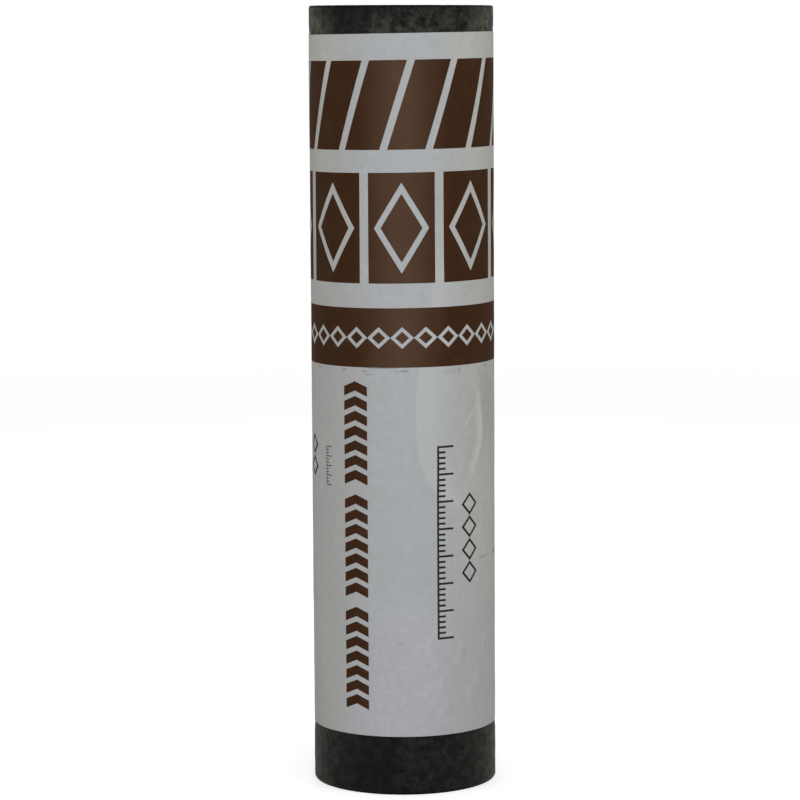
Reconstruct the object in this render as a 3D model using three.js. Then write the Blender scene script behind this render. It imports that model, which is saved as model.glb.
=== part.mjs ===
// A roll of mineral-surfaced roofing felt that stands on one end, in a printed paper wrapper.
// Millimetres, +Z up. The origin is at the middle of the roll's base, +Z runs along the roll,
// and the ends of both sheets lie at the back, on the +Y side.
import * as THREE from "three";
import { mergeVertices } from "three/addons/utils/BufferGeometryUtils.js";

const TURN = 2 * Math.PI;
const { degToRad } = THREE.MathUtils;

// Felt: one sheet wound on a mandrel that is then drawn out, so there is no core.
const sheetWidth = 914.4; // 36 in, which is the height of the standing roll
const sheetLength = 10972.8; // 36 ft, one roofing square with its laps
const sheetThickness = 2.85;
const boreRadius = 38.1;
const edgeRoundAcross = 0.5; // how far each cut edge is rounded off, across the thickness
const edgeRoundAlong = 0.9; // and along the width: neighbouring turns meet in a groove
const sheetEndAngle = degToRad(112);

// Wrapper: one sheet of paper round the middle of the roll, glued to itself.
const bareFeltBelow = 69.2; // how much of the sheet's width shows under the wrapper
const bareFeltAbove = 32.4; // and over it
const wrapperWidth = sheetWidth - bareFeltBelow - bareFeltAbove;
const wrapperThickness = 0.2;
const wrapperLap = 55; // how far its outer end covers its inner one
const wrapperEndAngle = degToRad(148);
const wrapperClearance = 0.3; // between the felt and the paper

const facetsPerTurn = 36;

const colours = { felt: 0x1f1f1e, paper: 0xa6aaac };

// The sheet's middle line is an Archimedean spiral. Its length for a number of turns n is
// pi * thickness * n^2 + 2 pi * (bore radius + half the thickness) * n, solved here for n.
const firstTurnRadius = boreRadius + sheetThickness / 2;
const turns =
  (Math.sqrt(firstTurnRadius ** 2 + (sheetThickness * sheetLength) / Math.PI) - firstTurnRadius) /
  sheetThickness;
const windingSteps = Math.round(turns * facetsPerTurn);
const rollRadius = boreRadius + sheetThickness * (windingSteps / facetsPerTurn + 1);

// Radius of the sheet's inner face, and the angle, after a number of winding steps.
const innerFaceRadius = (step) => boreRadius + (sheetThickness * step) / facetsPerTurn;
const stepAngle = (step) => sheetEndAngle + ((step - windingSteps) * TURN) / facetsPerTurn;

// The sheet's section, with its edges rounded off: x runs across the thickness, y along the width.
// It starts at the inner face's lower corner and runs round by the lower edge.
function sheetSection() {
  const lowerEdge = [
    new THREE.Vector2(0, edgeRoundAlong),
    new THREE.Vector2(edgeRoundAcross, 0),
    new THREE.Vector2(sheetThickness - edgeRoundAcross, 0),
    new THREE.Vector2(sheetThickness, edgeRoundAlong),
  ];
  const upperEdge = lowerEdge.map(({ x, y }) => new THREE.Vector2(x, sheetWidth - y)).reverse();
  return [...lowerEdge, ...upperEdge];
}

// One solid: the section swept along the spiral. Where a turn lies against the next one no face is
// made, so the turns are joined, and each end shows the sheet's edge as a spiral ridge.
function woundSheet() {
  const section = sheetSection();
  const outerFace = section.length / 2 - 1; // the section's side from its lower to its upper edge
  const innerFace = section.length - 1;
  const firstOuterStep = windingSteps - facetsPerTurn;
  const positions = [];

  const corner = (step, index) => {
    const { x, y } = section[index % section.length];
    const radius = innerFaceRadius(step) + x;
    const angle = stepAngle(step);
    return [radius * Math.cos(angle), radius * Math.sin(angle), y];
  };
  const addTriangle = (a, b, c) => positions.push(...a, ...b, ...c);

  for (let step = 0; step < windingSteps; step++) {
    section.forEach((_, side) => {
      if (side === outerFace && step < firstOuterStep) return;
      if (side === innerFace && step >= facetsPerTurn) return;
      const here = corner(step, side);
      const across = corner(step + 1, side + 1);
      addTriangle(here, corner(step + 1, side), across);
      addTriangle(here, across, corner(step, side + 1));
    });
  }

  // The sheet's two cut ends: the inner one faces back along the winding, the outer one forward.
  for (const [a, b, c] of THREE.ShapeUtils.triangulateShape(section, [])) {
    addTriangle(corner(0, a), corner(0, b), corner(0, c));
    addTriangle(corner(windingSteps, a), corner(windingSteps, c), corner(windingSteps, b));
  }

  const geometry = new THREE.BufferGeometry();
  geometry.setAttribute("position", new THREE.Float32BufferAttribute(positions, 3));
  const solid = mergeVertices(geometry);
  solid.computeVertexNormals();
  return solid;
}

// Radius of the wrapper's inner face. It lies on the outermost turn, and just past the felt's cut
// end it leaves the edge there and runs straight to where it touches the turn below.
function wrapperInnerRadius(angle) {
  const pastEnd = THREE.MathUtils.euclideanModulo(angle - sheetEndAngle, TURN);
  const turnBelow = rollRadius - sheetThickness;
  const touchAngle = Math.acos(turnBelow / rollRadius);
  const feltRadius = turnBelow + (sheetThickness * pastEnd) / TURN;
  const taut = pastEnd < touchAngle ? turnBelow / Math.cos(touchAngle - pastEnd) : 0;
  return Math.max(feltRadius, taut) + wrapperClearance;
}

// The wrapper's section is a ring of one thickness, and of two over the glued lap.
function wrapper() {
  const lapStartAngle = wrapperEndAngle - wrapperLap / rollRadius;
  const angles = [lapStartAngle];
  for (let facet = 0; facet < facetsPerTurn; facet++) {
    const angle = sheetEndAngle + (facet * TURN) / facetsPerTurn;
    angles.push(lapStartAngle + THREE.MathUtils.euclideanModulo(angle - lapStartAngle, TURN));
  }
  angles.push(wrapperEndAngle);
  angles.sort((a, b) => a - b);

  const point = (angle, layers) => {
    const radius = wrapperInnerRadius(angle) + layers * wrapperThickness;
    return new THREE.Vector2(radius * Math.cos(angle), radius * Math.sin(angle));
  };
  const outside = [];
  for (const angle of angles) {
    if (angle <= wrapperEndAngle) outside.push(point(angle, 2));
    if (angle >= wrapperEndAngle) outside.push(point(angle, 1));
  }
  const section = new THREE.Shape(outside);
  section.holes.push(new THREE.Path(angles.map((angle) => point(angle, 0))));
  return new THREE.ExtrudeGeometry(section, { depth: wrapperWidth, bevelEnabled: false });
}

function namedMesh(name, geometry, material) {
  const mesh = new THREE.Mesh(geometry, material);
  mesh.name = name;
  return mesh;
}

const felt = new THREE.MeshStandardMaterial({ color: colours.felt, roughness: 0.9, metalness: 0 });
const paper = new THREE.MeshStandardMaterial({ color: colours.paper, roughness: 0.75, metalness: 0 });

const feltRoll = namedMesh("felt_roll", woundSheet(), felt);
const paperWrapper = namedMesh("paper_wrapper", wrapper(), paper);
paperWrapper.position.z = bareFeltBelow;

// A spiral is widest on one side, so the roll is moved until its middle is over the origin.
const winding = new THREE.Group();
winding.add(feltRoll, paperWrapper);
const middle = new THREE.Box3().setFromObject(winding).getCenter(new THREE.Vector3());
winding.position.set(-middle.x, -middle.y, 0);

const roll = new THREE.Group();
roll.add(winding);

export default roll;
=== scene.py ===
"""A roll of mineral-surfaced roofing felt that stands on one end, in a printed paper wrapper.

The felt is one long sheet wound on itself round an open bore, so each end shows its cut edge as a
spiral of turns. The wrapper is one sheet of paper pulled tight round the felt and glued to itself
over a lap at the back. Lengths are in metres and angles are measured from +X. +Z runs up along the
roll and -Y is the front. A place on the paper is given by across, the distance round the roll to the
right of the middle of the front, and by up, the height above the paper's lower edge.
"""

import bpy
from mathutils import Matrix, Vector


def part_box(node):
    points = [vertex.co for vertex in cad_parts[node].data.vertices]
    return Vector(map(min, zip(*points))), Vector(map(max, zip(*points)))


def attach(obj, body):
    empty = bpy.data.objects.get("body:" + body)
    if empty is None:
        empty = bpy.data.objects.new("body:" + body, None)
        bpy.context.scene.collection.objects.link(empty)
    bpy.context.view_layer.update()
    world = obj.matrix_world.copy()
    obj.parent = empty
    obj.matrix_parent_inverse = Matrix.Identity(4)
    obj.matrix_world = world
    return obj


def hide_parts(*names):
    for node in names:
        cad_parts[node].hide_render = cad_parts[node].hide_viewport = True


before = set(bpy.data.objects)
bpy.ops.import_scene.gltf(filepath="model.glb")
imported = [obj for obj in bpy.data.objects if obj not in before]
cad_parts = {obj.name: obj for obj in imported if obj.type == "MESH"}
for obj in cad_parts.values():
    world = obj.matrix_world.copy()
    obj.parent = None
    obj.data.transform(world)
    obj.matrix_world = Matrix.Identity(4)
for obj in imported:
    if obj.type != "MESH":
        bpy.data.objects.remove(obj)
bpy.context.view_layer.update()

import functools
import logging
import math
import operator
from abc import ABC, abstractmethod
from collections.abc import Callable
from dataclasses import dataclass, field
from enum import Enum

import bpy
import numpy as np
from mathutils import Matrix, Vector

MM = 0.001
TURN = 2 * math.pi
FRONT_ANGLE = -TURN / 4
BODY = "root"
PATTERN_MAP = "Sheet"
BAKE_MAP = "OFBake"
WALL_OFFSET = 1.0  # added to heights on the felt's walls, to tell them from its cut ends
BLANK = -1.0  # a height that no print reaches
CREASE_ANGLE = math.radians(55)

log = logging.getLogger("roofing_felt_roll")

Array = np.ndarray
Colour = tuple[float, float, float]
Pair = tuple[float, float]


def mm(*sizes: float) -> tuple[float, ...]:
    """Turns millimetres into metres."""
    return tuple(size * MM for size in sizes)


def srgb(*channels: int) -> Colour:
    """Turns a colour as it looks on a screen, 0 to 255, into the linear one that shaders take."""
    shares = (channel / 255 for channel in channels)
    return tuple(s / 12.92 if s <= 0.04045 else ((s + 0.055) / 1.055) ** 2.4 for s in shares)


# ---------------------------------------- Surfaces ----------------------------------------


def smoothstep(value: Array, low: float, high: float) -> Array:
    """Goes from 0 at low to 1 at high as 3t^2 - 2t^3, where t is the share of the way between them."""
    t = np.clip((value - low) / (high - low), 0, 1)
    return t * t * (3 - 2 * t)


def hump(gap: Array, width: float | Array, power: float = 2) -> Array:
    """Falls from 1 as exp(-|gap / width|^power)."""
    return np.exp(-(np.abs(gap / width) ** power))


def graded(ends: Pair, count: int, fine: Pair, ratio: float) -> Array:
    """Spaces positions so that they lie closer together over one stretch.

    Their density is 1, or ratio inside that stretch. They are where its running total passes equal
    shares of its whole.

    Args:
        ends: The first and the last position.
        count: How many positions.
        fine: The stretch with closer positions.
        ratio: How many times closer they are there.

    Returns:
        The positions, rising.
    """
    knots = np.unique(np.clip([*ends, *fine], *ends))
    middles = (knots[1:] + knots[:-1]) / 2
    density = np.where((middles > fine[0]) & (middles < fine[1]), ratio, 1.0)
    total = np.concatenate([[0.0], np.cumsum(density * np.diff(knots))])
    return np.interp(np.linspace(0, total[-1], count), total, knots)


@dataclass(frozen=True)
class Waviness:
    """A smooth uneven line or surface: a sum of cosines with seeded directions and phases."""

    seed: int
    wavelengths: Pair
    waves: int = 9
    climb: float = 1.0  # what the last coordinate is multiplied by: under 1, the waves stand tall
    height: float = 1.0  # how far its waves or lumps stand up
    steepness: float = 1.0  # how sharply the lumps rise

    def at(self, *places: Array) -> Array:
        """Adds cos(2 pi (direction . place) / wavelength + phase) over the waves.

        Args:
            *places: One array for each coordinate.

        Returns:
            The sum, scaled so that its standard deviation is 1.
        """
        draw = np.random.default_rng(self.seed)
        places = (*places[:-1], places[-1] * self.climb)
        total = np.zeros(np.broadcast(*places).shape)
        for length in np.geomspace(*self.wavelengths, self.waves):
            direction = draw.normal(size=len(places))
            direction *= TURN / length / np.linalg.norm(direction)
            phase = draw.uniform(0, TURN)
            total += np.cos(sum(d * p for d, p in zip(direction, places)) + phase)
        return total / math.sqrt(self.waves / 2)

    def lumps(self, *places: Array) -> Array:
        """How far its lumps stand up: height (1 + tanh(steepness wave))."""
        return self.height * (1 + np.tanh(self.steepness * self.at(*places)))


def corners(grid: Array) -> Array:
    """Takes the four corners of each cell of a grid, as cells by 4 by what each point holds."""
    around = np.stack([grid[:-1, :-1], grid[1:, :-1], grid[1:, 1:], grid[:-1, 1:]], axis=2)
    return around.reshape(-1, 4, *grid.shape[2:])


def plane_map(first: Array, second: Array) -> Array:
    """Pairs two arrays as the two coordinates of a map."""
    return np.stack(np.broadcast_arrays(first, second), axis=-1)


def fit_into(values: Array, ends: Pair = (0.0, 1.0)) -> Array:
    """Stretches values so that they run from one end to the other."""
    return ends[0] + (ends[1] - ends[0]) * (values - values.min()) / np.ptp(values)


def put(data: bpy.types.ID) -> bpy.types.Object:
    """Puts a mesh, light or camera into the scene.

    Args:
        data: What it is.

    Returns:
        Its object, with the same name.
    """
    made = bpy.data.objects.new(data.name, data)
    bpy.context.scene.collection.objects.link(made)
    return made


@dataclass
class Skin:
    """Vertices and patches of faces that grow into one closed mesh with its maps."""

    points: list[Array] = field(default_factory=list)
    patches: list[list[Array]] = field(default_factory=list)  # vertex numbers, pattern map, bake map

    def add_points(self, places: Array) -> Array:
        """Adds vertices.

        Args:
            places: Positions, with x, y, z last.

        Returns:
            The vertex numbers, in the same shape.
        """
        start = sum(len(block) for block in self.points)
        self.points.append(places.reshape(-1, 3))
        return start + np.arange(places.size // 3).reshape(places.shape[:-1])

    def add_faces(self, *patch: Array, flip: bool = False) -> None:
        """Adds faces by their vertex numbers, pattern map and bake map, or the same turned over."""
        self.patches.append([part[:, ::-1] if flip else part for part in patch])

    def add_grid(self, *patch: Array, flip: bool = False) -> None:
        """Adds the cells of a grid as four-sided faces, by its vertex numbers and both maps there."""
        self.add_faces(*map(corners, patch), flip=flip)

    def build(self, name: str, **marks: Array) -> bpy.types.Object:
        """Makes the mesh object, with both maps, its attributes and smooth faces.

        Args:
            name: The piece's name.
            **marks: Values that its first vertices carry, by attribute name. The others carry 0.

        Returns:
            The object, with its place in its mesh.
        """
        mesh = bpy.data.meshes.new(name)
        points = np.concatenate(self.points)
        groups, *maps = zip(*self.patches)
        faces = [face for group in groups for face in group.tolist()]
        mesh.from_pydata(points.tolist(), [], faces)
        for map_name, parts in zip((PATTERN_MAP, BAKE_MAP), maps):
            layer = mesh.uv_layers.new(name=map_name, do_init=False)
            layer.uv.foreach_set("vector", np.concatenate([part.reshape(-1) for part in parts]))
        for mark, values in sorted(marks.items()):
            carried = np.zeros(len(points), dtype=np.float32)
            carried[: values.size] = values.reshape(-1)
            mesh.attributes.new(mark, "FLOAT", "POINT").data.foreach_set("value", carried)
        mesh.polygons.foreach_set("use_smooth", np.ones(len(faces), dtype=bool))
        mesh.set_sharp_from_angle(angle=CREASE_ANGLE)
        mesh.update()
        return put(mesh)


# ---------------------------------------- Materials ----------------------------------------


class Sum(Enum):
    """The kinds of arithmetic that are done here, by the Math node's names for them."""

    ADD, SUBTRACT, MULTIPLY, DIVIDE = "ADD", "SUBTRACT", "MULTIPLY", "DIVIDE"
    LARGER, SIZE, BELOW, FRACTION = "MAXIMUM", "ABSOLUTE", "LESS_THAN", "FRACT"


def feed(node: bpy.types.Node, inputs: dict[str | int, object]) -> None:
    """Links a node's inputs to signals, or sets them to values that are the same all over.

    Args:
        node: The node.
        inputs: The signals and values, by the input's name or number.
    """
    for name, value in inputs.items():
        if isinstance(value, Signal):
            value.tree.links.new(value.socket, node.inputs[name])
        else:
            node.inputs[name].default_value = value


def add_node(
    tree: bpy.types.NodeTree, kind: str, output: str, inputs: dict[str | int, object], **settings: object
) -> "Signal":
    """Adds a node.

    Args:
        tree: The nodes that it joins.
        kind: Its type, less the word ShaderNode that starts it.
        output: Which of its outputs is wanted.
        inputs: What it is fed.
        **settings: Its own settings.

    Returns:
        The output.
    """
    node = tree.nodes.new("ShaderNode" + kind)
    for key, value in settings.items():
        setattr(node, key, value)
    feed(node, inputs)
    return Signal(tree, node.outputs[output])


def arithmetic(kind: Sum) -> "Callable[..., Signal]":
    """Makes a method for signals.

    Args:
        kind: The arithmetic that it does, on the signal and on what it is given.

    Returns:
        The method.
    """

    def method(self: "Signal", *others: "Signal | float") -> "Signal":
        """Adds the Math node that does it."""
        return add_node(self.tree, "Math", "Value", dict(enumerate((self, *others))), operation=kind.value)

    return method


@dataclass(frozen=True)
class Signal:
    """What varies over a surface, a number, colour, place or shader: one output of some nodes.

    A mask is 1 where it holds and 0 elsewhere. The product of two masks is where both hold, and | is
    where either does.
    """

    tree: bpy.types.NodeTree
    socket: bpy.types.NodeSocket

    __add__, __sub__, __mul__ = arithmetic(Sum.ADD), arithmetic(Sum.SUBTRACT), arithmetic(Sum.MULTIPLY)
    __truediv__, __or__, __abs__ = arithmetic(Sum.DIVIDE), arithmetic(Sum.LARGER), arithmetic(Sum.SIZE)
    below, fraction = arithmetic(Sum.BELOW), arithmetic(Sum.FRACTION)

    def sibling(self, output: str) -> "Signal":
        """Another output of the same node."""
        return Signal(self.tree, self.socket.node.outputs[output])

    def axes(self, first: str, second: str) -> "tuple[Signal, Signal]":
        """Two of this place's coordinates."""
        part = add_node(self.tree, "SeparateXYZ", first, {"Vector": self})
        return part, part.sibling(second)

    def inverse(self) -> "Signal":
        """The mask turned over."""
        return self * -1.0 + 1.0

    def between(self, low: float, high: float) -> "Signal":
        """The mask moved to run from one value, where it was 0, to another, where it was 1."""
        return self * (high - low) + low

    def outward(self, low: float, high: float) -> "Signal":
        """The share of the way from a stretch's middle to its ends: 0 in the middle, 1 at both ends."""
        return abs(self - (low + high) / 2) / ((high - low) / 2)

    def within(self, low: float, high: float) -> "Signal":
        """A mask that holds inside a stretch."""
        return self.outward(low, high).below(1.0)

    def in_cells(self, pitch: float, width: float) -> "Signal":
        """The same share for stretches of some width, with their middles at each multiple of a pitch."""
        return abs((self / pitch + 0.5).fraction() - 0.5) / (width / pitch / 2)

    def spread(self, low: float, high: float) -> "Signal":
        """Stretches the part from low to high over 0 to 1, smoothly, and cuts off the rest."""
        inputs = {"Value": self, "From Min": low, "From Max": high}
        return add_node(self.tree, "MapRange", "Result", inputs, interpolation_type="SMOOTHSTEP")

    def blend(self, first: "Signal | Colour", second: Colour) -> "Signal":
        """Mixes two colours by this mask, with the first where it is 0 and the second where it is 1."""
        inputs = {"Factor": self, "A": first if isinstance(first, Signal) else (*first, 1), "B": (*second, 1)}
        return add_node(self.tree, "Mix", "Result", inputs, data_type="RGBA")


class Finish:
    """A material under construction on one Principled shader, with short ways to add patterns."""

    def __init__(self, name: str) -> None:
        """Starts the material.

        Args:
            name: Its name.
        """
        self.material = bpy.data.materials.new(name)
        self.material.use_nodes = True
        self.tree = self.material.node_tree
        self.shader = self.tree.nodes["Principled BSDF"]

    def sheet(self) -> Signal:
        """The place on the piece's own pattern map, in metres."""
        return add_node(self.tree, "UVMap", "UV", {}, uv_map=PATTERN_MAP)

    def place(self, climb: float = 1.0) -> Signal:
        """The place on the object, in metres, with its height multiplied by a number."""
        inputs = {"Vector": add_node(self.tree, "TexCoord", "Object", {}), "Scale": (1, 1, climb)}
        return add_node(self.tree, "Mapping", "Vector", inputs)

    def mark(self, name: str) -> Signal:
        """The values that the vertices carry under a name."""
        return add_node(self.tree, "Attribute", "Fac", {}, attribute_name=name)

    def noise(self, size: float, detail: float = 3, rough: float = 0.55, climb: float = 1.0) -> Signal:
        """A cloudy pattern, mostly from 0.3 to 0.7, by patch size, finer layers and their strength."""
        inputs = {"Vector": self.place(climb), "Scale": 1 / size, "Detail": detail, "Roughness": rough}
        return add_node(self.tree, "TexNoise", "Fac", inputs)

    def grains(self, size: float) -> tuple[Signal, Signal]:
        """Packed grains: the distance from each one's middle, up to about 1, and its number, 0 to 1."""
        away = add_node(self.tree, "TexVoronoi", "Distance", {"Vector": self.place(), "Scale": 1 / size})
        return away, add_node(self.tree, "SeparateColor", "Red", {"Color": away.sibling("Color")})

    def dull(self, mean: float, swing: float, size: float) -> Signal:
        """A roughness that varies by a swing to both sides of its mean, in patches of some size."""
        return self.noise(size).between(mean - swing, mean + swing)

    def bump(self, height: Signal, depth: float, strength: float) -> Signal:
        """Fine relief, where a height of 1 is one depth up and only a share of it shows."""
        inputs = {"Height": height, "Distance": depth, "Strength": strength}
        return add_node(self.tree, "Bump", "Normal", inputs)


@dataclass(frozen=True)
class FeltFinish:
    """Bitumen felt faced with fine dark mineral granules, dusty from handling, with a painted sheen in the
    dust on its flanks.
    """

    height: float  # of the roll, whose cut ends show bare bitumen
    thickness: float
    rim_from: float  # length of sheet under the outermost turn, whose cut edges show no paler granule line
    granule: Colour = srgb(15, 15, 15)
    pale_granule: Colour = srgb(46, 46, 44)
    film_dust: Colour = srgb(95, 97, 90)
    # dust caked on the flanks, partly a painted sheen
    flank_dust_and_sheen: Colour = srgb(99, 98, 82)
    bitumen: Colour = srgb(7, 7, 7)
    cut_facing: Colour = srgb(82, 81, 75)  # granules that the cut shows from the side
    facing_place: float = 0.84  # where they lie, as a share of the thickness from its inner face
    facing_reach: Pair = (0.17, 0.07)  # how far from there they end, and are at their thickest
    granule_size: float = 1.6 * MM
    cut_depths: Pair = mm(3.0, 2.6)  # how far from the top and from the base bare bitumen shows
    cut_blur: float = 0.5 * MM
    paler_from: float = 0.2  # the share of the height from which it grows paler upwards
    film: Pair = (0.03, 0.29)  # how strong the dust's film is below there, and at the top
    dust_and_sheen: Pair = (0.16, 0.68)  # the same for the dust caked on the flanks, which is partly a painted sheen
    flank_shift: float = 2.5 * MM  # how far left of the middle line the middle of its flanks' dust and painted sheen lies
    dust_and_sheen_side: Pair = mm(66, 116)  # how far from there the dust and painted sheen begin, and are strongest
    wiped: float = -34 * MM  # x at the base of the place where the dust has been wiped off
    wiped_lean: float = -0.03  # how far right that place moves for each metre up
    wiped_reach: Pair = mm(12, 36)  # how far on each side it is clean, and the dust is whole again
    wiped_dust: float = 0.2  # the share of the dust that is left there
    rim_reach: Pair = mm(4, 21)  # how far below the top the dust is thin, and is whole again
    rim_dust: float = 0.5  # the same right below the top
    relief: float = 0.5 * MM
    roughness: float = 0.85
    specular: float = 0.08
    sheen: Pair = (0.12, 0.4)  # its weight and roughness

    def make(self) -> bpy.types.Material:
        """Builds the material.

        Returns:
            The material, for the roll's side, bore and cut ends alike.
        """
        finish = Finish("felt_granules")
        distance, shade = finish.grains(self.granule_size)
        speck = finish.noise(3.5 * MM, detail=4, rough=0.7)
        blotch = finish.noise(11 * MM, detail=4, rough=0.65)
        streak = finish.noise(18 * MM, detail=6, rough=0.65, climb=0.35)
        x, height = finish.place().axes("X", "Z")

        # Where dust has stayed: off the wiped stripe and less near the top rim. The felt grows paler upwards.
        stripe = abs(x - height * self.wiped_lean - self.wiped)
        dusty = stripe.spread(*self.wiped_reach).between(self.wiped_dust, 1.0)
        upward = height.spread(self.paler_from * self.height, self.height)
        kept = (height * -1.0 + self.height).spread(*self.rim_reach).between(self.rim_dust, 1.0)
        flank = abs(x + self.flank_shift).spread(*self.dust_and_sheen_side)
        grainy = shade.between(0.8, 1.2)

        mottled = (blotch * 0.75 + speck * 0.25).spread(0.44, 0.6)
        lighter = (shade.spread(0.6, 1.0) * 0.3 + mottled * 0.3) * dusty.between(0.5, 1.0)
        colour = lighter.blend(self.granule, self.pale_granule)
        patchy = (finish.noise(50 * MM) * 0.3 + blotch * 0.55 + speck * 0.15).spread(0.4, 0.62)
        film = patchy * dusty * upward.between(*self.film) * grainy * kept
        colour = film.blend(colour, self.film_dust)
        # Dust on the flanks, partly a painted sheen.
        streaky = (streak * 0.5 + blotch * 0.5).spread(0.38, 0.58)
        dust_and_sheen = streaky * flank * upward.between(*self.dust_and_sheen) * grainy * kept
        colour = dust_and_sheen.blend(colour, self.flank_dust_and_sheen)

        # Cut edges: bare bitumen, and in each turn the facing's granules as a thin paler line.
        top, base, blur = self.height - self.cut_depths[0], self.cut_depths[1], self.cut_blur
        rim = height.spread(top - blur, top + blur) | height.spread(base + blur, base - blur)
        colour = (rim * speck.spread(0.75, 0.5).between(0.75, 1.0)).blend(colour, self.bitumen)
        along, across = finish.sheet().axes("X", "Y")
        cut = across.below(WALL_OFFSET) * along.below(self.rim_from)
        facing = abs(across / self.thickness - self.facing_place).spread(*self.facing_reach) * cut
        colour = (facing * speck.spread(0.3, 0.6) * 0.8).blend(colour, self.cut_facing)

        inputs = {
            "Base Color": colour,
            "Roughness": finish.dull(self.roughness, 0.1, 4 * MM),
            "Specular IOR Level": self.specular,
            "Sheen Weight": self.sheen[0],
            "Sheen Roughness": self.sheen[1],
            "Normal": finish.bump(distance.inverse() * 0.6 + speck * 0.8, self.relief, 0.8),
        }
        feed(finish.shader, inputs)
        return finish.material


class Motif(ABC):
    """One ornament of the wrapper's print. Columns and rows are stretches across and up the paper."""

    @abstractmethod
    def ink(self, across: Signal, up: Signal) -> Signal:
        """A mask of its ink at a place on the paper."""


@dataclass(frozen=True)
class SlantedBars(Motif):
    """A row of leaning bars all round the roll."""

    rows: Pair = mm(680.9, 782.7)
    pitch: float = 53.0 * MM
    width: float = 44 * MM
    lean: float = 0.32

    def ink(self, across: Signal, up: Signal) -> Signal:
        """Ink where the place across, sheared by the height, is inside a bar."""
        return (across - up * self.lean).in_cells(self.pitch, self.width).below(1.0) * up.within(*self.rows)


@dataclass(frozen=True)
class Tiles(Motif):
    """A row of upright tiles, each with a bare lozenge outline."""

    rows: Pair = mm(528.2, 654.9)
    pitch: float = 88.8 * MM
    width: float = 78 * MM
    outline: Pair = (0.62, 0.82)

    def ink(self, across: Signal, up: Signal) -> Signal:
        """Ink on a tile, but not where the shares of the way to its side and end add up to the outline."""
        aside, away = across.in_cells(self.pitch, self.width), up.outward(*self.rows)
        return aside.below(1.0) * away.below(1.0) * (aside + away).within(*self.outline).inverse()


@dataclass(frozen=True)
class ChainBand(Motif):
    """A stripe all round with a bare chain of hollow lozenges along its middle."""

    rows: Pair = mm(431.4, 500.0)
    chain_rows: Pair = mm(453.2, 478.2)
    pitch: float = 27.4 * MM
    outline: Pair = (0.58, 1.0)

    def ink(self, across: Signal, up: Signal) -> Signal:
        """Ink on the stripe less its chain, whose outlines are made as the tiles' are."""
        shares = across.in_cells(self.pitch, self.pitch) + up.outward(*self.chain_rows)
        return up.within(*self.rows) * shares.within(*self.outline).inverse()


@dataclass(frozen=True)
class LozengeChain(Motif):
    """A short upright chain of open lozenges in line."""

    columns: Pair
    rows: Pair
    pitch: float
    outline: Pair

    def ink(self, across: Signal, up: Signal) -> Signal:
        """Ink on the lozenges' outlines, made as the tiles' are."""
        away = (up - (self.rows[0] + self.pitch / 2)).in_cells(self.pitch, self.pitch)
        return (across.outward(*self.columns) + away).within(*self.outline) * up.within(*self.rows)


@dataclass(frozen=True)
class ChevronColumn(Motif):
    """A column of stacked chevrons in groups, with a space between groups."""

    columns: Pair = mm(-73, -42)
    rows: Pair = mm(30.4, 416.7)
    pitch: float = 17.2 * MM
    inked_share: float = 0.64
    group: int = 7
    group_pitch: float = 132.0 * MM
    slope: float = 0.42

    def ink(self, across: Signal, up: Signal) -> Signal:
        """Makes the mask.

        The height, plus the slope times the distance from the column's middle, is counted first
        in groups and then in chevrons within the group.

        Args:
            across: The place round the roll.
            up: The height on the paper.

        Returns:
            Where there is ink.
        """
        (left, right), (base, top) = self.columns, self.rows
        half = (right - left) / 2
        aside = abs(across - (left + half))
        climb = up + aside * self.slope - (base + self.slope * half)
        in_group = (climb / self.group_pitch).fraction() * self.group_pitch
        bar = (in_group / self.pitch).fraction().below(self.inked_share)
        inside = aside.below(half) * climb.within(0.0, top - base)
        return bar * in_group.below(self.pitch * self.group) * inside


@dataclass(frozen=True)
class TickRule(Motif):
    """A fine upright rule with ticks, some of them long."""

    columns: Pair
    rows: Pair
    pitch: float
    line: float
    long_every: int

    def ink(self, across: Signal, up: Signal) -> Signal:
        """Makes the mask: the rule's own line and, at each pitch, a short or a long tick.

        Args:
            across: The place round the roll.
            up: The height on the paper.

        Returns:
            Where there is ink.
        """
        (left, right), (base, top), half = self.columns, self.rows, self.line / 2
        mask = across.within(left, left + self.line)
        for pitch, end in ((self.pitch, (left + right) / 2), (self.pitch * self.long_every, right)):
            mask = mask | (up - base).in_cells(pitch, self.line).below(1.0) * across.within(left, end)
        return mask * up.within(base - half, top + half)


BROWN_PRINT = (SlantedBars(), Tiles(), ChainBand(), ChevronColumn())
DARK_PRINT = (
    TickRule(mm(40, 61), mm(114.3, 338.3), 6.4 * MM, 2.5 * MM, 5),
    LozengeChain(mm(73, 98), mm(175.2, 282), 26.7 * MM, (0.7, 1.0)),
    LozengeChain(mm(-152, -126), mm(297, 348), 25.5 * MM, (0.62, 1.0)),
    TickRule(mm(-105, -95), mm(291, 336), 3.75 * MM, 1.1 * MM, 3),
)


@dataclass(frozen=True)
class Patch:
    """A place where the paper has another colour: an ellipse with a soft edge."""

    place: Pair  # its middle, across and up
    reach: Pair  # how far it reaches across and up
    colour: Colour
    share: float  # how much of that colour its middle has
    ragged: float = 0.0  # how far a fine pattern breaks its edge

    def tint(self, colour: Signal, across: Signal, up: Signal, fine: Signal) -> Signal:
        """Lays it over the paper, smoothly as x^2 + y^2, in reaches, falls from 1 to 0.

        Args:
            colour: The paper's colour without it.
            across: The place round the roll.
            up: The height on the paper.
            fine: A fine pattern about 0.5 on average.

        Returns:
            The colour with it.
        """
        aside, away = ((s - p) / r for s, p, r in zip((across, up), self.place, self.reach))
        outward = aside * aside + away * away + (fine - 0.5) * self.ragged
        return (outward.spread(1.0, 0.0) * self.share).blend(colour, self.colour)


# a grey for dirt and for painted shade and shadow
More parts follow.
